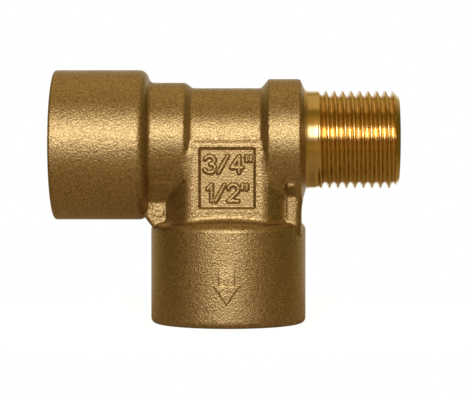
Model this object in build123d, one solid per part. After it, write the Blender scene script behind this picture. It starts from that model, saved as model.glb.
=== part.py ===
from build123d import *
import os
from math import ceil, cos, radians, sin, sqrt, tan

# Brass tee: a hot forging from two dies, then turned and tapped at its three ends.
# Origin: centre of the branch socket's end face. +Z runs up the branch, +X along the
# run to the male end, and -Y is the marked side. The dies part on the plane Y = 0.
# All sizes are millimetres and degrees.

# Female threads, 14 turns to the inch: each bore is the thread's minor diameter
socket_bore_d = 24.12
socket_thread_depth = 16.3
socket_mouth_d = 27.0
drill_angle = 118.0

# Branch socket and its sloping shoulder
branch_socket_d = 33.2
branch_rim_round = 1.2
shoulder_z = 21.3
shoulder_slope = 12.0
shoulder_round = 1.2

# Run socket: its underside clears the branch socket's shoulder by socket_gap
run_socket_d = 32.1
socket_gap = 0.9
run_axis_z = shoulder_z + socket_gap + run_socket_d / 2
run_reach = 37.4
run_socket_length = 20.3
run_rim_round = 0.6
run_shoulder_round = 1.35

# Trunk: neck, barrel and collar share an axis a little above the run socket's
trunk_axis_z = run_axis_z + 0.85
neck_d = 24.98
neck_flare = 1.25
neck_end_x = -9.18
barrel_d = 22.64
barrel_start_x = -7.66
barrel_end_x = 7.05
collar_d = 26.54
collar_start_x = 8.65
collar_end_x = 15.4
collar_face_x = 16.35
collar_face_d = 21.9
trunk_round = 0.8
collar_round = 0.4

# Male end: the thread is left as a plain cylinder of its major diameter
male_axis_z = run_axis_z + 1.15
male_reach = 36.5
male_major_d = 20.955
male_neck_d = 20.6
male_neck_end_x = 19.0
male_tip_d = 18.2
male_tip_chamfer = 1.4

# Branch body, which rises from the shoulder into the trunk
branch_d = 28.3
foot_round = 1.0

# Flats on the two die sides of the branch body, and the sunk panel of the marked one
flat_depth = 11.75
flat_top_z = trunk_axis_z + 0.55
flat_edge_round = 0.4
panel_side = 2.05
panel_head = 1.95
panel_foot = 1.6
panel_sink = 0.45
panel_draft = 30.0

# Web between the run socket and the branch socket, and its ejector mark
web_half = 3.9
web_round = 1.3
ejector_d = 2.7
ejector_sink = 0.25
ejector_from_run_socket = 2.2
ejector_above_shoulder = 2.9

# Rib under the collar
rib_half = 7.5
rib_width = 3.4
rib_stand_out = 0.3
rib_round = 1.5
rib_bend = 2.2

# Ramps that widen the web and the rib up to the trunk, and the dies' draft
ramp_angle = 38.0
ramp_head_angle = 44.0
ramp_stand_out = 0.3
draft_angle = 5.5

# Waterways
run_passage_d = 18.0
run_passage_end_x = 6.0
branch_passage_d = 17.5
male_passage_d = 15.0
male_passage_chamfer = 0.6

# How far one body of the forging reaches into the next
bury = 2.0

# A rounded corner of a turned section is a run of short tapers, each bent by at most
# this angle from the next: it stays within 0.03 mm of the true round and facets lightly
taper_bend = 22.5

# Tolerance for picking edges by their place or direction
near = 0.01

run_shoulder_x = run_socket_length - run_reach
run_socket_r = run_socket_d / 2
branch_socket_r = branch_socket_d / 2
branch_r = branch_d / 2


def rounded(before, corner, after, size):
    """Points along a rounded corner, from its first tangent point to its last."""
    corner = Vector(*corner)
    behind = (Vector(*before) - corner).normalized()
    ahead = (Vector(*after) - corner).normalized()
    turn = 180 - behind.get_angle(ahead)
    centre = corner + (behind + ahead).normalized() * (size / cos(radians(turn / 2)))
    start = corner + behind * (size * tan(radians(turn / 2))) - centre
    steps = ceil(turn / taper_bend)
    step = turn / steps if ahead.cross(behind).Z > 0 else -turn / steps
    points = [centre + start.rotate(Axis.Z, step * i) for i in range(steps + 1)]
    return [(point.X, point.Y) for point in points]


def turned(points, rounds=None):
    """Solid turned about X from a half section of (length, radius) points.

    rounds gives the radius at each point that is rounded."""
    rounds = rounds or {}
    outline = []
    for index, point in enumerate(points):
        if point in rounds:
            outline += rounded(points[index - 1], point, points[index + 1], rounds[point])
        else:
            outline.append(point)
    return revolve(make_face(Polyline(*outline, close=True)), Axis.X)


def bored(diameter, start, end):
    """Drilled hole along X, from start to the drill's point beyond end."""
    radius = diameter / 2
    tip = end + radius / tan(radians(drill_angle / 2))
    return turned([(start, 0), (start, radius), (end, radius), (tip, 0)])


def run_socket():
    """Plain round socket with a rounded rim and shoulder."""
    rim = (-run_reach, run_socket_r)
    shoulder = (run_shoulder_x, run_socket_r)
    points = [(-run_reach, 0), rim, shoulder, (run_shoulder_x, 0)]
    rounds = {rim: run_rim_round, shoulder: run_shoulder_round}
    return Pos(0, 0, run_axis_z) * turned(points, rounds)


def trunk():
    """Neck, barrel and collar in one turn, flared where the neck meets the run socket."""
    inside = run_shoulder_x - bury
    neck = neck_d / 2
    flare_r = neck + neck_flare
    neck_end = (neck_end_x, neck)
    barrel_start = (barrel_start_x, barrel_d / 2)
    barrel_end = (barrel_end_x, barrel_d / 2)
    collar_start = (collar_start_x, collar_d / 2)
    collar_end = (collar_end_x, collar_d / 2)
    collar_face = (collar_face_x, collar_face_d / 2)
    flare = rounded((run_shoulder_x, flare_r), (run_shoulder_x, neck), neck_end, neck_flare)
    points = [
        (inside, 0),
        (inside, flare_r),
        *flare,
        neck_end,
        barrel_start,
        barrel_end,
        collar_start,
        collar_end,
        collar_face,
        (collar_face_x, 0),
    ]
    rounds = dict.fromkeys([neck_end, barrel_start, barrel_end], trunk_round)
    rounds |= dict.fromkeys([collar_start, collar_end], collar_round)
    return Pos(0, 0, trunk_axis_z) * turned(points, rounds)


def male_end():
    """Turned neck and threaded end, plain at the thread's major diameter."""
    inside = collar_end_x - bury
    points = [
        (inside, 0),
        (inside, male_neck_d / 2),
        (male_neck_end_x, male_neck_d / 2),
        (male_neck_end_x, male_major_d / 2),
        (male_reach - male_tip_chamfer, male_major_d / 2),
        (male_reach, male_tip_d / 2),
        (male_reach, 0),
    ]
    return Pos(0, 0, male_axis_z) * turned(points)


def branch_socket():
    """Round socket whose shoulder slopes up towards the branch body."""
    peak = shoulder_z + branch_socket_r * tan(radians(shoulder_slope))
    rim = (0, branch_socket_r)
    shoulder = (shoulder_z, branch_socket_r)
    rounds = {rim: branch_rim_round, shoulder: shoulder_round}
    points = [(0, 0), rim, shoulder, (peak, 0)]
    return Rot(0, -90, 0) * turned(points, rounds)


def branch_body():
    """Round body with a flat on each die side, standing on the shoulder."""
    foot = shoulder_z - bury
    section = Circle(branch_r) & Rectangle(branch_d, 2 * flat_depth)
    section = fillet(section.vertices(), flat_edge_round)
    return Pos(0, 0, foot) * extrude(section, flat_top_z - foot)


def ramp_corners(half, trunk_d):
    """Reach and height of a ramp's head, and the height of its knee."""
    angle = radians(ramp_head_angle)
    reach = trunk_d / 2 * cos(angle) + ramp_stand_out
    head_z = trunk_axis_z - trunk_d / 2 * sin(angle)
    knee_z = head_z - (reach - half) * tan(radians(ramp_angle))
    return reach, head_z, knee_z


def ramp_section(half, foot_z, trunk_d):
    """Section across a web or rib: plain sides, then ramps that widen up to the trunk."""
    reach, head_z, knee_z = ramp_corners(half, trunk_d)
    right = [(half, foot_z), (half, knee_z), (reach, head_z), (half, trunk_axis_z)]
    left = [(-y, z) for y, z in reversed(right)]
    return Plane.YZ * make_face(Polyline(*right, *left, close=True))


def web():
    """Plate that fills the corner between the two sockets, cut across below."""
    tuck = 1 - sin(radians(45))
    run_corner = (
        run_shoulder_x - tuck * run_shoulder_round,
        run_axis_z - run_socket_r + tuck * run_shoulder_round,
    )
    branch_corner = (
        tuck * shoulder_round - branch_socket_r,
        shoulder_z - tuck * shoulder_round,
    )
    inner_x = 2 * bury - branch_r
    outline = [
        run_corner,
        branch_corner,
        (inner_x, branch_corner[1]),
        (inner_x, trunk_axis_z),
        (run_corner[0], trunk_axis_z),
    ]
    section = ramp_section(web_half, branch_corner[1] - bury, neck_d)
    start = run_corner[0] - bury
    block = Pos(start, 0, 0) * extrude(section, inner_x - start)
    cutter = Plane.XZ * make_face(Polyline(*outline, close=True))
    block = block & extrude(cutter, flat_depth, both=True)
    return fillet(block.edges().filter_by(is_slanted), web_round)


def is_slanted(edge):
    """Whether an edge leans in the XZ plane."""
    way = edge.tangent_at(0.5)
    return abs(way.Y) < near and abs(way.X * way.Z) > near


def rib():
    """Upright rib under the collar, rounded in front, its outer side bent out to the collar."""
    lean = tan(radians(draft_angle))
    outer_x = collar_end_x + rib_stand_out
    inner_x = outer_x - rib_width
    foot_z = shoulder_z - bury
    knee_z = ramp_corners(rib_half, collar_d)[-1]
    section = ramp_section(rib_half, foot_z, collar_d)
    block = Pos(inner_x, 0, 0) * extrude(section, collar_face_x - inner_x)
    depth = collar_d / 2
    plan = make_face(
        Polyline(
            (inner_x, -depth),
            (collar_face_x - depth * lean, -depth),
            (collar_face_x, 0),
            (collar_face_x - depth * lean, depth),
            (inner_x, depth),
            close=True,
        )
    )
    block = block & Pos(0, 0, foot_z) * extrude(plan, trunk_axis_z - foot_z)
    bend_z = shoulder_z + rib_bend
    rise = Polyline(
        (collar_face_x, knee_z),
        (collar_face_x, trunk_axis_z),
        (inner_x, trunk_axis_z),
        (inner_x, foot_z),
        (outer_x, foot_z),
        (outer_x, bend_z),
    )
    outline = make_face(rise + TangentArc((outer_x, bend_z), (collar_face_x, knee_z), tangent=(0, 1)))
    block = block & extrude(Plane.XZ * outline, depth, both=True)
    fronts = block.edges().filter_by(Axis.Z)
    fronts = fronts.filter_by(lambda e: abs(abs(e.center().Y) - rib_half) < near)
    return fillet(fronts, rib_round)


def panel():
    """Pocket for the sunk panel: its walls draw in towards its floor."""
    width = 2 * sqrt(branch_r**2 - flat_depth**2) - 2 * panel_side
    foot_z = shoulder_z + (branch_socket_r - flat_depth) * tan(radians(shoulder_slope))
    foot_z += foot_round + panel_foot
    head_z = flat_top_z - panel_head
    mouth = Plane.XZ.offset(flat_depth) * Pos(0, (foot_z + head_z) / 2) * Rectangle(width, head_z - foot_z)
    return extrude(mouth, -panel_sink, taper=panel_draft)


def ejector_mark():
    """Shallow round mark on the front of the web."""
    place = Plane.XZ.offset(web_half - ejector_sink) * Pos(
        run_shoulder_x + ejector_from_run_socket,
        shoulder_z + ejector_above_shoulder,
    )
    return extrude(place * Circle(ejector_d / 2), bury)


def tapped_hole():
    """Threaded bore along X from a face at 0, with its mouth chamfer and drill point."""
    chamfer = (socket_mouth_d - socket_bore_d) / 2
    mouth = turned(
        [
            (-chamfer, 0),
            (-chamfer, socket_mouth_d / 2 + chamfer),
            (chamfer, socket_bore_d / 2),
            (chamfer, 0),
        ]
    )
    return mouth + bored(socket_bore_d, 0, socket_thread_depth)


def waterways():
    """Everything that is drilled, bored or tapped out of the forging."""
    run_bore = Pos(-run_reach, 0, run_axis_z) * tapped_hole()
    branch_bore = Rot(0, -90, 0) * tapped_hole()
    run_passage = Pos(0, 0, run_axis_z) * bored(run_passage_d, -run_reach, run_passage_end_x)
    branch_passage = Rot(0, -90, 0) * turned(
        [(0, 0), (0, branch_passage_d / 2), (run_axis_z, branch_passage_d / 2), (run_axis_z, 0)]
    )
    male_r = male_passage_d / 2
    male_passage = Pos(0, 0, male_axis_z) * turned(
        [
            (0, 0),
            (0, male_r),
            (male_reach - male_passage_chamfer, male_r),
            (male_reach + male_passage_chamfer, male_r + 2 * male_passage_chamfer),
            (male_reach + male_passage_chamfer, 0),
        ]
    )
    return run_bore + branch_bore + run_passage + branch_passage + male_passage


def branch():
    """Socket and body in one, blended where the body's walls meet the sloping shoulder."""
    whole = branch_socket() + branch_body()
    top_z = shoulder_z + branch_socket_r * tan(radians(shoulder_slope))
    foot = whole.edges().filter_by(lambda e: shoulder_z < (e @ 0.5).Z < top_z)
    foot = foot.filter_by(lambda e: (e @ 0.5).X ** 2 + (e @ 0.5).Y ** 2 < (branch_r + near) ** 2)
    return fillet(foot, foot_round)


def forging():
    """The outer form as it leaves the dies, with its flats, web and rib."""
    body = branch() + trunk() + run_socket() + web() + rib()
    return body - panel() - ejector_mark()


tee_body = forging() + male_end() - waterways()
tee_body.label = "tee_body"

os.makedirs("parts", exist_ok=True)
export_step(tee_body, "parts/tee_body.step")
print("volume", round(tee_body.volume), "solids", len(tee_body.solids()), "valid", tee_body.is_valid)
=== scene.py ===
import math
import bpy
import numpy as np
from mathutils import Matrix


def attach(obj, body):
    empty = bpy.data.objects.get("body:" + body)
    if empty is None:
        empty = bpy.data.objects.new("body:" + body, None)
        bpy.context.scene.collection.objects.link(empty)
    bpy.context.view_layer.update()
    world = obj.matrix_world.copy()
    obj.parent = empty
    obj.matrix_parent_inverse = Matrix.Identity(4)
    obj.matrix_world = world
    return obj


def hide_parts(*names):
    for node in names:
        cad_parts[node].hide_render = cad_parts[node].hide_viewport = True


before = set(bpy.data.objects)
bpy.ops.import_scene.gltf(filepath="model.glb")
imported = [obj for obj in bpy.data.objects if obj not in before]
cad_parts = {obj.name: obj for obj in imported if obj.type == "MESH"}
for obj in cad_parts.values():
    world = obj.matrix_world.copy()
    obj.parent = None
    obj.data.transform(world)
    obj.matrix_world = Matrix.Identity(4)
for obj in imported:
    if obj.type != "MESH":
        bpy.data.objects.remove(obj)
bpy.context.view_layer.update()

mm = 0.001


# ---- small helpers ----

def smoothStep(value, low, high):
    # 0 below low, 1 above high, and an S-shaped rise between them
    t = np.clip((value - low) / (high - low), 0.0, 1.0)
    return t * t * (3 - 2 * t)


def hinge(value, width):
    # 0 below the bend, the value itself above it, and a parabola across the width between
    t = np.clip(value + width / 2, 0.0, width)
    return t * t / (2 * width) + np.maximum(value - width / 2, 0.0)


def roundJoin(a, b, size):
    # distance to two bodies grown together, with a fillet of this size in the corner
    return np.maximum(size, np.minimum(a, b)) - np.hypot(np.maximum(size - a, 0), np.maximum(size - b, 0))


def roundCut(a, b, size):
    # distance to what two bodies share, with their common edge rounded to this size
    return np.minimum(-size, np.maximum(a, b)) + np.hypot(np.maximum(size + a, 0), np.maximum(size + b, 0))


def makePiece(name, points, faceSets, normals=None):
    # points in millimetres; each face set has faces of one size; a piece sits at the origin, unturned and unscaled
    mesh = bpy.data.meshes.new(name)
    corners = np.concatenate([np.asarray(f, np.int32).ravel() for f in faceSets])
    sizes = np.concatenate([np.full(len(f), np.shape(f)[1], np.int32) for f in faceSets])
    mesh.vertices.add(len(points))
    mesh.vertices.foreach_set("co", (np.asarray(points, float) * mm).ravel())
    mesh.loops.add(len(corners))
    mesh.loops.foreach_set("vertex_index", corners)
    mesh.polygons.add(len(sizes))
    mesh.polygons.foreach_set("loop_start", np.concatenate([[0], np.cumsum(sizes)[:-1]]).astype(np.int32))
    mesh.update(calc_edges=True)
    mesh.validate()
    mesh.polygons.foreach_set("use_smooth", np.ones(len(mesh.polygons), bool))
    if normals is not None:
        mesh.normals_split_custom_set_from_vertices(np.asarray(normals, float))
    piece = bpy.data.objects.new(name, mesh)
    bpy.context.scene.collection.objects.link(piece)
    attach(piece, "root")
    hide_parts("tee_body")
    print(name, len(points), "points", len(sizes), "faces")
    return piece


def gridFaces(rows, columns, closeRows=False, closeColumns=False):
    # four-sided faces between neighbours of a grid, whose points run along its rows
    r = np.arange(rows if closeRows else rows - 1)[:, None]
    c = np.arange(columns if closeColumns else columns - 1)[None, :]
    nextRow = (r + 1) % rows
    nextColumn = (c + 1) % columns
    corners = [r * columns + c, r * columns + nextColumn, nextRow * columns + nextColumn, nextRow * columns + c]
    return np.stack([np.broadcast_to(k, (len(r), c.shape[1])) for k in corners], -1).reshape(-1, 4)


# ---- the forging ----

forging = {
    "step": 0.45,                # size of the cells that its surface is found in
    "runReach": 37.38,           # end face of the run socket, just behind its turned ring
    "runSocketRadius": 16.05,
    "runShoulder": -17.1,
    "runRimRound": 0.6,
    "runShoulderRound": 2.0,
    "runAxis": 38.25,
    "trunkAxis": 39.1,
    "neckRadius": 12.49,
    "neckEnd": -9.18,
    "barrelRadius": 11.32,
    "barrelStart": -7.66,
    "barrelEnd": 7.05,
    "collarRadius": 13.27,
    "collarStart": 8.65,
    "collarEnd": 15.4,
    "collarFace": 16.35,
    "collarFaceRadius": 10.95,
    "trunkEase": 0.62,           # width over which the trunk's bends are eased
    "collarRound": 0.4,
    "neckFlare": 1.25,
    "branchSocketRadius": 16.6,
    "branchFace": 0.02,          # just above its turned ring
    "branchRimRound": 1.2,
    "branchShoulder": 21.3,
    "branchShoulderSlope": 12.0,
    "branchShoulderRound": 1.2,
    "branchRadius": 14.15,
    "flatDepth": 11.75,
    "flatTop": 39.65,
    "flatEdgeRound": 0.7,
    "flatTopRound": 1.4,
    "footRound": 1.0,
    "branchBlend": 1.5,          # where the branch runs into the trunk
    "flatTopBlend": 0.3,         # above the flats, where the step is small
    "webHalf": 5.6,
    "webRound": 0.9,
    "webCorners": ((-17.5, 22.6), (-16.25, 20.95)),
    "webBlend": 0.35,
    "ejectorPlace": (-14.9, 24.2),
    "ejectorPocket": 1.2,
    "ribHalf": 7.5,
    "ribSides": (12.3, 15.7),
    "ribRound": 1.5,
    "ribBend": (23.5, 28.0),
    "ribBlend": 0.4,
    "webRamp": (46.0, 0.2, 50.0),   # head as degrees below the trunk's axis, stand-out there, and slope
    "ribRamp": (46.5, 0.9, 38.0),
    "ribInnerRound": 0.7,
    "ribTurn": 0.12,             # its front turns a little to the right
    "dieDraft": 5.5,
    "pocket": (6.9, 24.2, 37.97, 11.0),   # half width, foot, head and depth behind the size plate
    "socketBore": 13.6,          # room for the thread sleeves
    "socketBoreLength": 16.6,
    "runPassage": 9.0,
    "runPassageEnd": 6.0,
    "branchPassage": 8.75,
    "maleAxis": 39.4,
    "malePassage": 7.5,
}


def rampWidth(z, half, trunkRadius, ramp):
    # half width of a web or rib: plain, then widening on a slope from its knee up to the trunk
    headAngle, standOut, slope = ramp
    angle = math.radians(headAngle)
    reach = trunkRadius * math.cos(angle) + standOut
    head = forging["trunkAxis"] - trunkRadius * math.sin(angle)
    rise = math.tan(math.radians(slope))
    knee = head - (reach - half) * rise
    return half + (hinge(z - knee, 0.6) - hinge(z - head, 0.2)) / rise


def trunkDistance(x, y, z):
    # the trunk's radius bends at each named length, and each bend is eased
    p = forging
    r = np.hypot(y, z - p["trunkAxis"])
    ease = p["trunkEase"]
    neckSlope = (p["barrelRadius"] - p["neckRadius"]) / (p["barrelStart"] - p["neckEnd"])
    collarSlope = (p["collarRadius"] - p["barrelRadius"]) / (p["collarStart"] - p["barrelEnd"])
    radius = (
        p["neckRadius"]
        + neckSlope * (hinge(x - p["neckEnd"], ease) - hinge(x - p["barrelStart"], ease))
        + collarSlope * (hinge(x - p["barrelEnd"], ease) - hinge(x - p["collarStart"], ease / 2))
    )
    slope = np.where((x > p["neckEnd"]) & (x < p["barrelStart"]), neckSlope, 0.0)
    slope = np.where((x > p["barrelEnd"]) & (x < p["collarStart"]), collarSlope, slope)
    side = (r - radius) / np.hypot(1.0, slope)
    lean = (p["collarFace"] - p["collarEnd"]) / (p["collarRadius"] - p["collarFaceRadius"])
    face = (x - p["collarEnd"] + (r - p["collarRadius"]) * lean) / math.hypot(1.0, lean)
    whole = roundCut(side, face, p["collarRound"])
    return np.maximum(whole, p["runShoulder"] - 2.0 - x)


def forgingDistance(x, y, z):
    # distance in millimetres from the forging's skin, below 0 inside it
    p = forging
    depth = np.abs(y)
    # run socket: a round bar with rounded rim and shoulder
    r = np.hypot(y, z - p["runAxis"]) - p["runSocketRadius"]
    runSocket = roundCut(r, -p["runReach"] - x, p["runRimRound"])
    runSocket = roundCut(runSocket, x - p["runShoulder"], p["runShoulderRound"])
    body = roundJoin(runSocket, trunkDistance(x, y, z), p["neckFlare"])
    # branch: socket, sloping shoulder, and a round body with two flats
    r = np.hypot(x, y)
    slope = math.radians(p["branchShoulderSlope"])
    lid = (z - p["branchShoulder"] - (p["branchSocketRadius"] - r) * math.tan(slope)) * math.cos(slope)
    socket = roundCut(r - p["branchSocketRadius"], p["branchFace"] - z, p["branchRimRound"])
    socket = roundCut(socket, lid, p["branchShoulderRound"])
    bar = roundCut(r - p["branchRadius"], depth - p["flatDepth"], p["flatEdgeRound"])
    bar = roundCut(bar, z - p["flatTop"], p["flatTopRound"])
    bar = np.maximum(bar, p["branchShoulder"] - 2.0 - z)
    branch = roundJoin(socket, bar, p["footRound"])
    # rib under the collar
    lower, upper = p["ribBend"]
    inner, outer = p["ribSides"]
    bend = np.clip((z - lower) / (upper - lower), 0.0, 1.0)
    outerSide = x - outer - (p["collarFace"] - outer) * bend**2
    draft = x - p["collarFace"] + depth * math.tan(math.radians(p["dieDraft"])) * smoothStep(z, lower, upper)
    wide = rampWidth(z, p["ribHalf"], p["collarRadius"], p["ribRamp"])
    steep = np.where(wide > p["ribHalf"] + 0.05, 0.62, 1.0)
    rib = roundCut((depth - wide + (x - outer) * p["ribTurn"]) * steep, np.maximum(outerSide, draft), p["ribRound"])
    rib = roundCut(rib, inner - x, p["ribInnerRound"])
    rib = np.maximum(rib, np.maximum(p["branchShoulder"] - 2.0 - z, z - p["trunkAxis"]))
    # web in the corner between the sockets
    (topX, topZ), (footX, footZ) = p["webCorners"]
    length = math.hypot(topX - footX, topZ - footZ)
    across = ((x - footX) * (topZ - footZ) - (z - footZ) * (topX - footX)) / length
    wide = rampWidth(z, p["webHalf"], p["neckRadius"], p["webRamp"])
    steep = np.where(wide > p["webHalf"] + 0.05, 0.62, 1.0)
    web = roundCut((depth - wide) * steep, -across, p["webRound"])
    web = np.maximum(web, np.maximum(x + 10.0, np.maximum(p["branchShoulder"] - 2.0 - z, z - p["trunkAxis"])))
    # grown together; the blend is small above the flats, where the step is small
    nearFlatTop = smoothStep(depth, 9.5, 10.8) * smoothStep(z, 36.0, 38.0)
    blend = p["branchBlend"] + (p["flatTopBlend"] - p["branchBlend"]) * nearFlatTop
    body = roundJoin(body, branch, blend)
    body = roundJoin(body, web, p["webBlend"])
    body = roundJoin(body, rib, p["ribBlend"])
    # pockets behind the size plate and the ejector mark, both on the marked side
    half, foot, head, behind = p["pocket"]
    pocket = np.maximum(np.maximum(np.abs(x) - half, y + behind), np.maximum(foot - z, z - head))
    body = np.maximum(body, -pocket)
    markX, markZ = p["ejectorPlace"]
    pocket = np.maximum(np.hypot(x - markX, z - markZ) - p["ejectorPocket"], y + p["webHalf"] - 0.7)
    body = np.maximum(body, -pocket)
    # bores: room for the thread sleeves, then the drilled passages
    runR = np.hypot(y, z - p["runAxis"])
    maleR = np.hypot(y, z - p["maleAxis"])
    deep = p["socketBoreLength"]
    drill = math.radians(59)
    point = (runR - p["runPassage"]) * math.cos(drill) + (x - p["runPassageEnd"]) * math.sin(drill)
    bore = np.maximum(runR - p["socketBore"], x + p["runReach"] - deep)
    bore = np.minimum(bore, np.maximum(runR - p["runPassage"], point))
    bore = np.minimum(bore, np.maximum(r - p["socketBore"], z - deep))
    bore = np.minimum(bore, np.maximum(r - p["branchPassage"], z - p["runAxis"]))
    bore = np.minimum(bore, np.maximum(maleR - p["malePassage"], -x))
    bore = np.minimum(bore, np.maximum(maleR - p["malePassage"] - 0.5, 14.9 - x))
    return np.maximum(body, -bore)


def slopeOf(distance, points):
    # the way in which the distance grows fastest, from small steps to either side
    small = 0.004
    x, y, z = points.T
    grow = np.stack([
        distance(x + small, y, z) - distance(x - small, y, z),
        distance(x, y + small, z) - distance(x, y - small, z),
        distance(x, y, z + small) - distance(x, y, z - small),
    ], -1) / (2 * small)
    return grow


def skinOf(distance, low, high, step):
    # surface nets: one point in each cell that the skin crosses, at the middle of its crossings
    axes = [np.arange(a, b + step, step) for a, b in zip(low, high)]
    field = distance(*np.meshgrid(*axes, indexing="ij", sparse=False))
    inside = field < 0
    shape = np.array(field.shape) - 1
    total = np.zeros((*shape, 3))
    count = np.zeros(shape)
    corners = [(i, j, k) for i in (0, 1) for j in (0, 1) for k in (0, 1)]
    for a in corners:
        for axis in range(3):
            if a[axis]:
                continue
            b = tuple(v + (n == axis) for n, v in enumerate(a))
            cutA = tuple(slice(v, v + s) for v, s in zip(a, shape))
            cutB = tuple(slice(v, v + s) for v, s in zip(b, shape))
            cross = inside[cutA] != inside[cutB]
            gap = np.where(cross, field[cutA] - field[cutB], 1.0)
            share = np.where(cross, field[cutA] / gap, 0.0)
            count += cross
            for n in range(3):
                total[..., n] += np.where(cross, a[n] + (share if n == axis else 0.0), 0.0)
    used = count > 0
    index = np.full(shape, -1, np.int64)
    index[used] = np.arange(used.sum())
    cell = np.argwhere(used)
    points = np.array(low) + (cell + total[used] / count[used][:, None]) * step
    quads = []
    for axis in range(3):
        u, v = [(1, 2), (2, 0), (0, 1)][axis]
        low1 = [slice(1, s) for s in shape]
        low1[axis] = slice(0, shape[axis])
        high1 = list(low1)
        high1[axis] = slice(1, shape[axis] + 1)
        first = inside[tuple(low1)]
        second = inside[tuple(high1)]
        at = np.argwhere(first != second)
        facing = first[tuple(at.T)]
        base = at + np.array([n != axis for n in range(3)])
        eu = np.eye(3, dtype=int)[u]
        ev = np.eye(3, dtype=int)[v]
        ring = [base - eu - ev, base - ev, base, base - eu]
        quad = np.stack([index[tuple(r.T)] for r in ring], -1)
        quad[~facing] = quad[~facing][:, ::-1]
        quads.append(quad)
    quads = np.concatenate(quads)
    return points, quads[(quads >= 0).all(1)]


def settle(distance, points, times=4):
    # draws the points onto the skin along its slope, and gives the skin's direction there
    for _ in range(times):
        grow = slopeOf(distance, points)
        value = distance(*points.T)
        size = np.maximum((grow**2).sum(1), 0.25)
        moved = points - grow * np.clip(value / size, -0.2, 0.2)[:, None]
        better = np.abs(distance(*moved.T)) < np.abs(value)
        points = np.where(better[:, None], moved, points)
    grow = slopeOf(distance, points)
    return points, grow / np.maximum(np.linalg.norm(grow, axis=1), 1e-6)[:, None]


def buildForging():
    low = (-37.9, -17.1, -0.5)
    high = (17.0, 17.1, 54.8)
    points, faces = skinOf(forgingDistance, low, high, forging["step"])
    points, normals = settle(forgingDistance, points)
    return makePiece("forgedBody", points, [faces], normals)


# ---- turned pieces: a closed profile carried once round an axis ----

def pipeThread(depth, pitch, crest, along):
    # depth of the thread below its crests: rounded crest, 55 degree flanks, rounded root
    half = pitch / 2
    u = np.abs((along + half) % pitch - half)      # distance from the nearest crest
    turn = crest * math.cos(math.radians(27.5))    # where a round meets a flank
    flank = depth / 2 + (u - pitch / 4) / math.tan(math.radians(27.5))
    top = crest - np.sqrt(np.maximum(crest**2 - u**2, 0))
    root = depth - crest + np.sqrt(np.maximum(crest**2 - (half - u) ** 2, 0))
    return np.where(u < turn, top, np.where(u > half - turn, root, flank))


def fillPath(corners, step):
    # points along straight runs between (length, radius) corners, no further apart than step
    rows = [np.array(corners[:1], float)]
    for start, end in zip(corners[:-1], corners[1:]):
        count = max(int(math.ceil(math.dist(start, end) / step)), 1)
        share = np.arange(1, count + 1)[:, None] / count
        rows.append(np.array(start) + share * (np.array(end) - np.array(start)))
    return np.concatenate(rows)


def turnedPiece(name, path, columns, place, sharp=32):
    # path(angle) gives length and radius for each row; place turns them into x, y, z
    angle = np.arange(columns) * 2 * math.pi / columns
    length, radius = path(angle[None, :])
    points = place(length, radius, angle[None, :])
    faces = gridFaces(*length.shape, closeRows=True, closeColumns=True)
    piece = makePiece(name, points.reshape(-1, 3), [faces])
    piece.data.set_sharp_from_angle(angle=math.radians(sharp))
    return piece


maleEnd = {
    "axis": 39.4,
    "reach": 36.5,
    "majorRadius": 10.4775,      # half-inch pipe thread
    "pitch": 1.8143,
    "depth": 1.162,
    "crestRound": 0.249,
    "topCrest": 20.84,           # length at which a crest passes the top
    "runOut": (18.5, 20.6),      # the thread grows to full depth between these
    "neckRadius": 10.38,
    "tipRadius": 9.1,
    "tipChamfer": 1.4,
    "boreRadius": 7.5,
    "innerEnd": 14.7,
    "mouthChamfer": 0.6,
    "columns": 180,
    "rowStep": 0.12,
}


def buildMaleEnd():
    p = maleEnd
    reach, neck, bore = p["reach"], p["neckRadius"], p["boreRadius"]
    tip = reach - p["tipChamfer"]
    outer = fillPath([(reach, p["tipRadius"]), (tip, p["majorRadius"]), (18.4, p["majorRadius"])], p["rowStep"])
    rest = fillPath([(17.4, neck), (16.95, neck + 0.07), (16.6, neck + 0.27), (16.3, neck + 0.62),
                     (15.6, neck + 0.75), (p["innerEnd"], bore + 0.28), (p["innerEnd"], bore), (reach - p["mouthChamfer"], bore),
                     (reach, bore + p["mouthChamfer"])], 1.2)

    def path(angle):
        length = outer[:, :1] + 0 * angle
        groove = pipeThread(p["depth"], p["pitch"], p["crestRound"],
                            length - p["topCrest"] - p["pitch"] * angle / (2 * math.pi))
        groove = groove * smoothStep(length, *p["runOut"])
        base = p["majorRadius"] + (neck - p["majorRadius"]) * (1 - smoothStep(length, 18.5, 19.5))
        chamfer = p["tipRadius"] + (reach - length) * (p["majorRadius"] - p["tipRadius"]) / p["tipChamfer"]
        radius = np.minimum(base - groove, chamfer)
        length = np.concatenate([length, rest[:, :1] + 0 * angle])
        return length, np.concatenate([radius, rest[:, 1:] + 0 * angle])

    def place(length, radius, angle):
        return np.stack([length, -radius * np.sin(angle), p["axis"] + radius * np.cos(angle)], -1)[:, ::-1]

    return turnedPiece("maleEnd", path, p["columns"], place)


femaleThread = {
    "minorRadius": 12.06,        # three-quarter-inch pipe thread
    "pitch": 1.8143,
    "depth": 1.162,
    "crestRound": 0.249,
    "mouthRadius": 13.5,
    "threadLength": 16.3,
    "ringRadius": 15.35,         # outside of the turned end face
    "ringThickness": 0.02,
    "columns": 180,
    "rowStep": 0.15,
}


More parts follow.
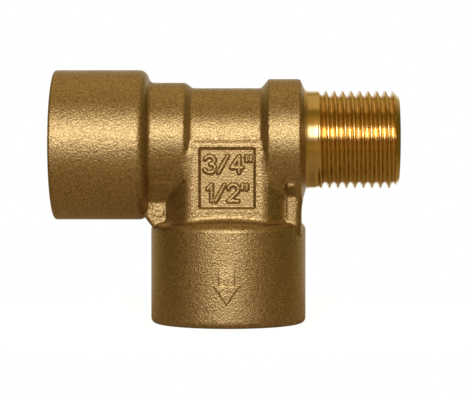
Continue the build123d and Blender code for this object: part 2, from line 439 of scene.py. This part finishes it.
def buildFemaleThread(name, passage, place):
    # length runs inwards from the end face, to where the drill's cone meets the passage
    p = femaleThread
    minor, ring, thin = p["minorRadius"], p["ringRadius"], p["ringThickness"]
    mouth = p["mouthRadius"] - minor
    threaded = fillPath([(0.0, p["mouthRadius"]), (mouth, minor), (p["threadLength"], minor)], p["rowStep"])
    cone = p["threadLength"] + (minor - passage) / math.tan(math.radians(59))
    rest = fillPath([(cone, passage - 0.02), (cone + 0.2, passage + 0.2), (p["threadLength"] + 0.5, 13.5),
                     (0.4, 13.5), (0.4, ring), (thin, ring), (0.0, ring - thin),
                     (0.0, p["mouthRadius"] + 0.05)], 1.5)

    def path(angle):
        length = threaded[:, :1] + 0 * angle
        crest = pipeThread(p["depth"], p["pitch"], p["crestRound"], length - p["pitch"] * angle / (2 * math.pi))
        fade = 1 - smoothStep(length, p["threadLength"] - 2.2, p["threadLength"] - 0.4)
        mouthCone = np.maximum(p["mouthRadius"] - length, minor)
        radius = np.maximum(minor + (p["depth"] - crest) * fade, mouthCone)
        length = np.concatenate([length, rest[:, :1] + 0 * angle])
        return length, np.concatenate([radius, rest[:, 1:] + 0 * angle])

    return turnedPiece(name, path, p["columns"], place)


def placeRunThread(length, radius, angle):
    return np.stack([length - 37.4, radius * np.sin(angle), 38.25 + radius * np.cos(angle)], -1)


def placeBranchThread(length, radius, angle):
    return np.stack([radius * np.cos(angle), radius * np.sin(angle), length + 0 * angle], -1)


# ---- patches: a finely raised or sunk surface, closed behind ----

def patch(name, across, up, place, depth):
    # place(u, v, out) turns sizes along the patch, and out of it, into x, y, z
    u, v, out = across
    rows, columns = u.shape
    points = place(u, v, out).reshape(-1, 3)
    grow = np.stack([np.gradient(place(u, v, out)[..., n], axis=0) for n in range(3)], -1)
    side = np.stack([np.gradient(place(u, v, out)[..., n], axis=1) for n in range(3)], -1)
    normals = np.cross(side, grow).reshape(-1, 3) * up
    normals /= np.linalg.norm(normals, axis=1)[:, None]
    faces = gridFaces(rows, columns)
    index = np.arange(rows * columns).reshape(rows, columns)
    rim = np.concatenate([index[0, :-1], index[:-1, -1], index[-1, :0:-1], index[:0:-1, 0]])
    behind = place(u.ravel()[rim], v.ravel()[rim], np.full(len(rim), -depth))
    middle = behind.mean(0)[None]
    start = rows * columns
    ring = start + np.arange(len(rim))
    after = np.roll(ring, -1)
    sides = np.stack([rim, ring, after, np.roll(rim, -1)], -1)
    back = np.stack([ring, np.full(len(rim), start + len(rim)), after], -1)
    if up < 0:
        faces, sides, back = faces[:, ::-1], sides[:, ::-1], back[:, ::-1]
    away = np.concatenate([normals, normals[rim], -normals[:1]])
    return makePiece(name, np.concatenate([points, behind, middle]), [faces, sides, back], away)


def strokeDistance(u, v, strokes):
    # distance from each point to the nearest of these strokes, each a row of (u, v) points
    nearest = np.full(u.shape, 1e3)
    for stroke in strokes:
        for (au, av), (bu, bv) in zip(stroke[:-1], stroke[1:]):
            du, dv = bu - au, bv - av
            share = np.clip(((u - au) * du + (v - av) * dv) / (du * du + dv * dv), 0, 1)
            nearest = np.minimum(nearest, np.hypot(u - au - share * du, v - av - share * dv))
    return nearest


def bow(middleU, middleV, radiusU, radiusV, start, end, count=14):
    # points along part of an oval, from one angle to another in degrees
    angle = np.radians(np.linspace(start, end, count))
    return [(middleU + radiusU * math.cos(a), middleV + radiusV * math.sin(a)) for a in angle]


sizePlate = {
    "halfWidth": 7.3,
    "foot": 23.9,
    "head": 38.2,
    "grid": 0.1,
    "proud": 0.004,              # above the flat, dipping below it at the rim
    "recess": (6.02, 24.8, 37.85),   # half width, foot and head of the sunk panel
    "recessRound": 0.5,
    "sink": 0.6,
    "wall": 0.5,                 # width of the sloped walls
    "strokeHalf": 0.5,
    "beadHeight": 0.45,
    "rows": ((32.55, 35.95), (26.55, 30.0)),  # foot and head of the middle line of each row of figures
    "left": -4.62,
}


def sizeFigures(foot, head, left, upper, lower):
    # strokes of a pipe size in inches, such as 3/4 with its two marks
    high = head - foot
    figures = {
        "3": (2.05, [bow(0.95, foot + high * 0.74, 1.0, high * 0.26, 160, -80)
                     + bow(0.95, foot + high * 0.27, 1.1, high * 0.27, 80, -160)]),
        "4": (2.3, [[(1.65, foot), (1.65, head), (0.0, foot + high * 0.3), (2.3, foot + high * 0.3)]]),
        "1": (0.9, [[(0.0, head - high * 0.26), (0.8, head), (0.8, foot)]]),
        "2": (2.05, [bow(1.0, foot + high * 0.7, 1.0, high * 0.3, 170, -30)
                     + [(0.0, foot), (2.05, foot)]]),
        "/": (1.9, [[(0.0, foot), (1.9, head)]]),
        "mark": (1.1, [[(0.1, head - high * 0.28), (0.1, head)], [(1.0, head - high * 0.28), (1.0, head)]]),
    }
    strokes = []
    for key in (upper, "/", lower, "mark"):
        width, shape = figures[key]
        strokes += [[(left + u, v) for u, v in stroke] for stroke in shape]
        left += width + 0.78
    return strokes


def buildSizePlate():
    p = sizePlate
    across = np.arange(-p["halfWidth"], p["halfWidth"] + p["grid"] / 2, p["grid"])
    upward = np.arange(p["foot"], p["head"] + p["grid"] / 2, p["grid"])
    v, u = np.meshgrid(upward, across, indexing="ij")
    half, foot, head = p["recess"]
    # distance outside the recess, whose corners are rounded
    du = np.abs(u) - half + p["recessRound"]
    dv = np.abs(v - (foot + head) / 2) - (head - foot) / 2 + p["recessRound"]
    edge = np.hypot(np.maximum(du, 0), np.maximum(dv, 0)) + np.minimum(np.maximum(du, dv), 0) - p["recessRound"]
    slope = p["sink"] / p["wall"]
    floor = -slope * (hinge(-edge, 0.14) - hinge(-edge - p["wall"], 0.1))
    (foot1, head1), (foot2, head2) = p["rows"]
    strokes = sizeFigures(foot1, head1, p["left"], "3", "4") + sizeFigures(foot2, head2, p["left"] + 0.55, "1", "2")
    share = strokeDistance(u, v, strokes) / p["strokeHalf"]
    bead = p["beadHeight"] * np.sqrt(np.clip(1 - share**2, 0, 1))
    rimGap = np.minimum(p["halfWidth"] - np.abs(u), np.minimum(v - p["foot"], p["head"] - v))
    out = floor + bead + p["proud"] * (2 * smoothStep(rimGap, 0.0, 0.3) - 1)
    face = forging["flatDepth"]

    def place(u, v, out):
        return np.stack([u, -face - out, v], -1)

    return patch("sizePlate", (u, v, out), 1, place, 0.72)


flowArrow = {
    "reach": 4.6,
    "foot": 3.4,
    "head": 15.6,
    "grid": 0.1,
    "proud": 0.004,
    "height": 0.2,
    "shaftShare": 0.6,           # the shaft stands out less than the head
    "tip": 5.15,
    "barbs": 9.0,                # height of the head's widest part
    "headHalf": 2.7,
    "shaftHalf": 1.65,
    "fade": (9.6, 14.2),        # the shaft sinks into the socket between these heights
    "soft": 0.35,
}


def buildFlowArrow():
    p = flowArrow
    across = np.arange(-p["reach"], p["reach"] + p["grid"] / 2, p["grid"])
    upward = np.arange(p["foot"], p["head"] + p["grid"] / 2, p["grid"])
    v, u = np.meshgrid(upward, across, indexing="ij")
    # distance outside the arrow: its head is a triangle that points down, its shaft a straight band
    lean = p["headHalf"] / (p["barbs"] - p["tip"])
    headEdge = np.maximum((np.abs(u) - (v - p["tip"]) * lean) / math.hypot(1, lean), v - p["barbs"])
    shaftEdge = np.maximum(np.abs(u) - p["shaftHalf"], p["barbs"] - 1 - v)
    head = 1 - smoothStep(headEdge, -p["soft"] / 2, p["soft"] / 2)
    shaft = 1 - smoothStep(shaftEdge, -p["soft"] / 2, p["soft"] / 2)
    raised = np.maximum(head, p["shaftShare"] * shaft * (1 - smoothStep(v, *p["fade"])))
    rimGap = np.minimum(p["reach"] - np.abs(u), np.minimum(v - p["foot"], p["head"] - v))
    out = p["height"] * raised + p["proud"] * (2 * smoothStep(rimGap, 0.0, 0.6) - 1)
    radius = forging["branchSocketRadius"]

    def place(u, v, out):
        turn = u / radius
        return np.stack([(radius + out) * np.sin(turn), -(radius + out) * np.cos(turn), v], -1)

    return patch("flowArrow", (u, v, out), 1, place, 0.3)


ejectorMark = {
    "rim": 1.75,
    "radius": 1.42,
    "sink": 0.16,                # depth of the ring pressed round the disc
    "ringWidth": 0.13,
    "rings": 26,
    "columns": 72,
}


def buildEjectorMark():
    p = ejectorMark
    middleX, middleZ = forging["ejectorPlace"]
    r = np.linspace(p["rim"], 0.02, p["rings"])[:, None]
    angle = (np.arange(p["columns"] + 1) * 2 * math.pi / p["columns"])[None, :]
    u = middleX + r * np.cos(angle)
    v = middleZ + r * np.sin(angle)
    out = -p["sink"] * np.exp(-(((r - p["radius"]) / p["ringWidth"]) ** 2))
    out = out + 0.004 * (2 * smoothStep(p["rim"] - r, 0.0, 0.15) - 1) + 0 * angle
    face = forging["webHalf"]
    rings, columns = u.shape
    points = np.stack([u, -face - out, v], -1)[:, :-1].reshape(-1, 3)
    faces = gridFaces(rings, columns - 1, closeColumns=True)[:, ::-1]
    centre = len(points)
    inner = centre - (columns - 1) + np.arange(columns - 1)
    cap = np.stack([inner, np.roll(inner, -1), np.full(columns - 1, centre)], -1)
    outer = np.arange(columns - 1)
    behind = points[outer] + np.array([0, 0.6, 0])
    back = centre + 1 + outer
    sides = np.stack([outer, np.roll(outer, -1), np.roll(back, -1), back], -1)
    lastPoint = centre + 1 + len(outer)
    close = np.stack([back, np.roll(back, -1), np.full(columns - 1, lastPoint)], -1)
    points = np.concatenate([points, [[middleX, -face, middleZ]], behind,
                             [[middleX, -face + 0.6, middleZ]]])
    return makePiece("ejectorMark", points, [faces, cap, sides, close])


# ---- materials ----

def linear(colour):
    # a colour written as on a screen, turned into amounts of light
    part = np.array([int(colour[i:i + 2], 16) / 255 for i in (1, 3, 5)])
    part = np.where(part <= 0.04045, part / 12.92, ((part + 0.055) / 1.055) ** 2.4)
    return (*part.tolist(), 1.0)


def addNode(tree, kind, settings=None, links=None):
    # one node: settings name its properties or inputs, links name what feeds an input
    node = tree.nodes.new(kind)
    for key, value in (settings or {}).items():
        if isinstance(key, str) and hasattr(node, key):
            setattr(node, key, value)
        else:
            node.inputs[key].default_value = value
    for key, socket in (links or {}).items():
        tree.links.new(socket, node.inputs[key])
    return node


forgedBrass = {
    # hot-forged brass, blasted with fine shot: soft, slightly mottled sheen from small dents
    "colour": "#C6AD80",
    "darker": "#8F7850",
    "roughness": 0.43,
    "dentSize": 0.36,            # millimetres across one dent of the blasted skin
    "dentDepth": 0.10,
    "waveSize": 2.6,             # the slower unevenness of the forged surface
    "waveDepth": 0.02,
}


def makeForgedBrass():
    p = forgedBrass
    material = bpy.data.materials.new("forgedBrass")
    material.use_nodes = True
    tree = material.node_tree
    shader = tree.nodes["Principled BSDF"]
    place = addNode(tree, "ShaderNodeTexCoord")
    dents = addNode(tree, "ShaderNodeTexNoise", {"Scale": 1 / (p["dentSize"] * mm), "Detail": 1.5, "Roughness": 0.5},
                    {"Vector": place.outputs["Object"]})
    waves = addNode(tree, "ShaderNodeTexNoise", {"Scale": 1 / (p["waveSize"] * mm), "Detail": 2.0},
                    {"Vector": place.outputs["Object"]})
    slow = addNode(tree, "ShaderNodeBump", {"Distance": p["waveDepth"] * mm, "Strength": 1.0},
                   {"Height": waves.outputs["Fac"]})
    fine = addNode(tree, "ShaderNodeBump", {"Distance": p["dentDepth"] * mm, "Strength": 1.0},
                   {"Height": dents.outputs["Fac"], "Normal": slow.outputs["Normal"]})
    spread = addNode(tree, "ShaderNodeMapRange", {1: 0.3, 2: 0.7}, {0: dents.outputs["Fac"]})
    tone = addNode(tree, "ShaderNodeMix", {"data_type": "RGBA", 6: linear(p["darker"]), 7: linear(p["colour"])},
                   {0: spread.outputs[0]})
    tree.links.new(tone.outputs[2], shader.inputs["Base Color"])
    tree.links.new(fine.outputs["Normal"], shader.inputs["Normal"])
    shader.inputs["Metallic"].default_value = 1.0
    shader.inputs["Roughness"].default_value = p["roughness"]
    return material


turnedBrass = {
    # brass cut on a lathe: bright, its fine tool lines spread the light along the axis
    "colour": "#D9BE86",
    "roughness": 0.34,
    "stretch": 0.9,
}

threadBrass = {
    # brass cut by a die or tap: bright and smooth on the flanks
    "colour": "#D6BA80",
    "roughness": 0.2,
}


def makeTurnedBrass():
    p = turnedBrass
    material = bpy.data.materials.new("turnedBrass")
    material.use_nodes = True
    tree = material.node_tree
    shader = tree.nodes["Principled BSDF"]
    shader.inputs["Base Color"].default_value = linear(p["colour"])
    shader.inputs["Metallic"].default_value = 1.0
    shader.inputs["Roughness"].default_value = p["roughness"]
    shader.inputs["Anisotropic"].default_value = p["stretch"]
    shader.inputs["Anisotropic Rotation"].default_value = 0.25
    # the tool lines run round the X axis
    around = addNode(tree, "ShaderNodeTangent", {"direction_type": "RADIAL", "axis": "X"})
    tree.links.new(around.outputs[0], shader.inputs["Tangent"])
    return material


def makeThreadBrass():
    p = threadBrass
    material = bpy.data.materials.new("threadBrass")
    material.use_nodes = True
    shader = material.node_tree.nodes["Principled BSDF"]
    shader.inputs["Base Color"].default_value = linear(p["colour"])
    shader.inputs["Metallic"].default_value = 1.0
    shader.inputs["Roughness"].default_value = p["roughness"]
    return material


# ---- stage: floor, light and camera ----

stage = {
    # what stands round the tee, by the angle above the camera's side of the horizon: 90 is overhead,
    # 180 straight behind and -90 straight below
    "room": (
        (-180, "#CEB480"),
        (-150, "#9B8756"),
        (-125, "#A68C4F"),
        (-108, "#B59956"),
        (-99, "#593E14"),
        (-94, "#593E14"),
        (-86, "#9B843A"),
        (-60, "#978453"),
        (-45, "#9B874C"),
        (-31, "#8B7435"),
        (-20, "#B1954C"),
        (-8, "#956D20"),
        (4, "#6F3E14"),
        (14, "#AD7F35"),
        (28, "#CBA048"),
        (45, "#BF9940"),
        (58, "#977F3A"),
        (75, "#7C6020"),
        (125, "#504F3A"),
        (138, "#B1975F"),
        (158, "#CAB984"),
        (180, "#CEB480"),
    ),
    "leftWall": "#635423",
    "rightWall": "#6E5E28",
    "wallsFrom": (0.7, 0.95),    # how far aside a direction points where the walls begin and where they are all
    "backdrop": (34.0, 20.0),    # degrees from straight behind: the white sheet fades in between these
    "floorRadius": 72.0,
    "floorColour": "#C4B38C",
    "floorGlow": 0.93,           # white that the camera sees in the floor
    "floorShade": "#8A8A8A",     # and the lit part, which keeps the shadow
    "floorInMetal": 0.03,        # share of that white that the metal sees
    "keyBox": {"distance": 1.2, "middle": 18.5, "tall": 0.48, "wide": 1.05, "turn": -2.0,
               "tint": "#FCFFFE", "glow": 5.6},
    "topBox": {"distance": 1.0, "middle": 104.0, "tall": 1.0, "wide": 1.3, "turn": 0.0,
               "tint": "#FFE0AA", "glow": 0.54},
}


def lightBox(name, distance, middle, tall, wide, turn, tint, glow):
    # a soft box whose middle stands this many degrees above the camera's side of the horizon
    angle = math.radians(middle)
    aside = math.radians(turn)
    aim = np.array((0.0, 0.0, 0.035))
    place = aim + distance * np.array((math.sin(aside), -math.cos(angle) * math.cos(aside), math.sin(angle)))
    lamp = bpy.data.lights.new(name, "AREA")
    lamp.shape = "RECTANGLE"
    lamp.size = wide
    lamp.size_y = tall
    lamp.color = linear(tint)[:3]
    lamp.energy = glow * math.pi * wide * tall     # gives the box's face this brightness
    holder = bpy.data.objects.new(name, lamp)
    bpy.context.scene.collection.objects.link(holder)
    look(holder, place, aim)


def look(thing, place, aim):
    # puts a lamp or camera in place and turns it to face its aim, upright
    place = np.array(place, float)
    back = place - np.array(aim, float)
    back /= np.linalg.norm(back)
    side = np.cross((0, 0, 1), back)
    if np.linalg.norm(side) < 1e-6:
        side = np.array((1.0, 0, 0))
    side /= np.linalg.norm(side)
    up = np.cross(back, side)
    thing.matrix_world = Matrix([[side[i], up[i], back[i], place[i]] for i in range(3)] + [[0, 0, 0, 1]])


def buildRoom():
    p = stage
    world = bpy.data.worlds.new("room")
    world.use_nodes = True
    tree = world.node_tree
    tree.nodes.clear()
    place = addNode(tree, "ShaderNodeTexCoord")
    part = addNode(tree, "ShaderNodeSeparateXYZ", {}, {0: place.outputs["Generated"]})
    # angle of each direction in the upright plane through the camera's line of sight
    ahead = addNode(tree, "ShaderNodeMath", {"operation": "MULTIPLY", 1: -1.0}, {0: part.outputs["Y"]})
    angle = addNode(tree, "ShaderNodeMath", {"operation": "ARCTAN2"}, {0: part.outputs["Z"], 1: ahead.outputs[0]})
    share = addNode(tree, "ShaderNodeMapRange", {1: -math.pi, 2: math.pi}, {0: angle.outputs[0]})
    ramp = addNode(tree, "ShaderNodeValToRGB", {}, {0: share.outputs[0]})
    stops = ramp.color_ramp.elements
    while len(stops) > 1:
        stops.remove(stops[-1])
    for degrees, colour in p["room"]:
        stop = stops.new((degrees + 180) / 360)
        stop.color = linear(colour)
    stops.remove(stops[0])
    # walls to the left and right
    right = addNode(tree, "ShaderNodeMath", {"operation": "GREATER_THAN", 1: 0.0}, {0: part.outputs["X"]})
    walls = addNode(tree, "ShaderNodeMix", {"data_type": "RGBA", 6: linear(p["leftWall"]), 7: linear(p["rightWall"])},
                    {0: right.outputs[0]})
    aside = addNode(tree, "ShaderNodeMath", {"operation": "ABSOLUTE"}, {0: part.outputs["X"]})
    start, full = p["wallsFrom"]
    wallShare = addNode(tree, "ShaderNodeMapRange", {1: start, 2: full}, {0: aside.outputs[0]})
    colour = addNode(tree, "ShaderNodeMix", {"data_type": "RGBA"},
                     {0: wallShare.outputs[0], 6: ramp.outputs[0], 7: walls.outputs[2]})
    room = addNode(tree, "ShaderNodeBackground", {"Strength": 1.0}, {"Color": colour.outputs[2]})
    # white for the camera, and for metal and glass where the sheet stands behind the tee
    outer, inner = (math.cos(math.radians(d)) for d in p["backdrop"])
    behind = addNode(tree, "ShaderNodeMapRange", {1: outer, 2: inner}, {0: part.outputs["Y"]})
    ray = addNode(tree, "ShaderNodeLightPath")
    mirror = addNode(tree, "ShaderNodeMath", {"operation": "MAXIMUM"},
                     {0: ray.outputs["Is Glossy Ray"], 1: ray.outputs["Is Transmission Ray"]})
    mirror = addNode(tree, "ShaderNodeMath", {"operation": "MULTIPLY"}, {0: mirror.outputs[0], 1: behind.outputs[0]})
    seen = addNode(tree, "ShaderNodeMath", {"operation": "MAXIMUM"}, {0: ray.outputs["Is Camera Ray"], 1: mirror.outputs[0]})
    white = addNode(tree, "ShaderNodeBackground", {"Color": (1, 1, 1, 1), "Strength": 1.0})
    mix = addNode(tree, "ShaderNodeMixShader", {}, {0: seen.outputs[0], 1: room.outputs[0], 2: white.outputs[0]})
    addNode(tree, "ShaderNodeOutputWorld", {}, {0: mix.outputs[0]})
    bpy.context.scene.world = world


def buildFloor():
    p = stage
    turn = np.arange(96) * 2 * math.pi / 96
    points = p["floorRadius"] * mm * np.stack([np.cos(turn), np.sin(turn), 0 * turn], -1)
    mesh = bpy.data.meshes.new("floor")
    mesh.from_pydata(points - (0, 0, 0.02 * mm), [], [list(range(96))])
    floor = bpy.data.objects.new("floor", mesh)
    bpy.context.scene.collection.objects.link(floor)
    material = bpy.data.materials.new("paleFloor")
    material.use_nodes = True
    tree = material.node_tree
    tree.nodes.clear()
    lit = addNode(tree, "ShaderNodeBsdfDiffuse", {"Color": linear(p["floorColour"])})
    glow = addNode(tree, "ShaderNodeEmission", {"Color": (1, 1, 1, 1), "Strength": p["floorGlow"]})
    shade = addNode(tree, "ShaderNodeBsdfDiffuse", {"Color": linear(p["floorShade"])})
    white = addNode(tree, "ShaderNodeAddShader", {}, {0: glow.outputs[0], 1: shade.outputs[0]})
    ray = addNode(tree, "ShaderNodeLightPath")
    mirror = addNode(tree, "ShaderNodeMath", {"operation": "MAXIMUM"},
                     {0: ray.outputs["Is Glossy Ray"], 1: ray.outputs["Is Transmission Ray"]})
    mirror = addNode(tree, "ShaderNodeMath", {"operation": "MULTIPLY", 1: p["floorInMetal"]}, {0: mirror.outputs[0]})
    seen = addNode(tree, "ShaderNodeMath", {"operation": "MAXIMUM"}, {0: ray.outputs["Is Camera Ray"], 1: mirror.outputs[0]})
    mix = addNode(tree, "ShaderNodeMixShader", {}, {0: seen.outputs[0], 1: lit.outputs[0], 2: white.outputs[0]})
    addNode(tree, "ShaderNodeOutputMaterial", {}, {0: mix.outputs[0]})
    mesh.materials.append(material)


def buildCamera():
    lens = bpy.data.cameras.new("camera")
    lens.lens = 165.7
    lens.sensor_width = 36.0
    lens.clip_end = 10.0
    holder = bpy.data.objects.new("camera", lens)
    bpy.context.scene.collection.objects.link(holder)
    look(holder, (0.0111, -0.462, 0.0419), (0.0011, 0.0, 0.0264))
    bpy.context.scene.camera = holder


brassSkin = makeForgedBrass()
brassTurned = makeTurnedBrass()
brassCut = makeThreadBrass()
body = buildForging()
body.data.materials.append(brassSkin)
male = buildMaleEnd()
runThread = buildFemaleThread("runThread", forging["runPassage"], placeRunThread)
branchThread = buildFemaleThread("branchThread", forging["branchPassage"], placeBranchThread)
male.data.materials.append(brassCut)
male.data.materials.append(brassTurned)
# the plain neck before the thread is turned brass
middles = np.empty(len(male.data.polygons) * 3)
male.data.polygons.foreach_get("center", middles)
male.data.polygons.foreach_set("material_index", (middles[::3] < 18.4 * mm).astype(np.int32))
for piece in (runThread, branchThread):
    piece.data.materials.append(brassCut)
for build in (buildSizePlate, buildFlowArrow, buildEjectorMark):
    build().data.materials.append(brassSkin)
buildRoom()
buildFloor()
lightBox("keyBox", **stage["keyBox"])
lightBox("topBox", **stage["topBox"])
buildCamera()
bpy.context.scene.view_settings.view_transform = "Standard"
print("scene built")
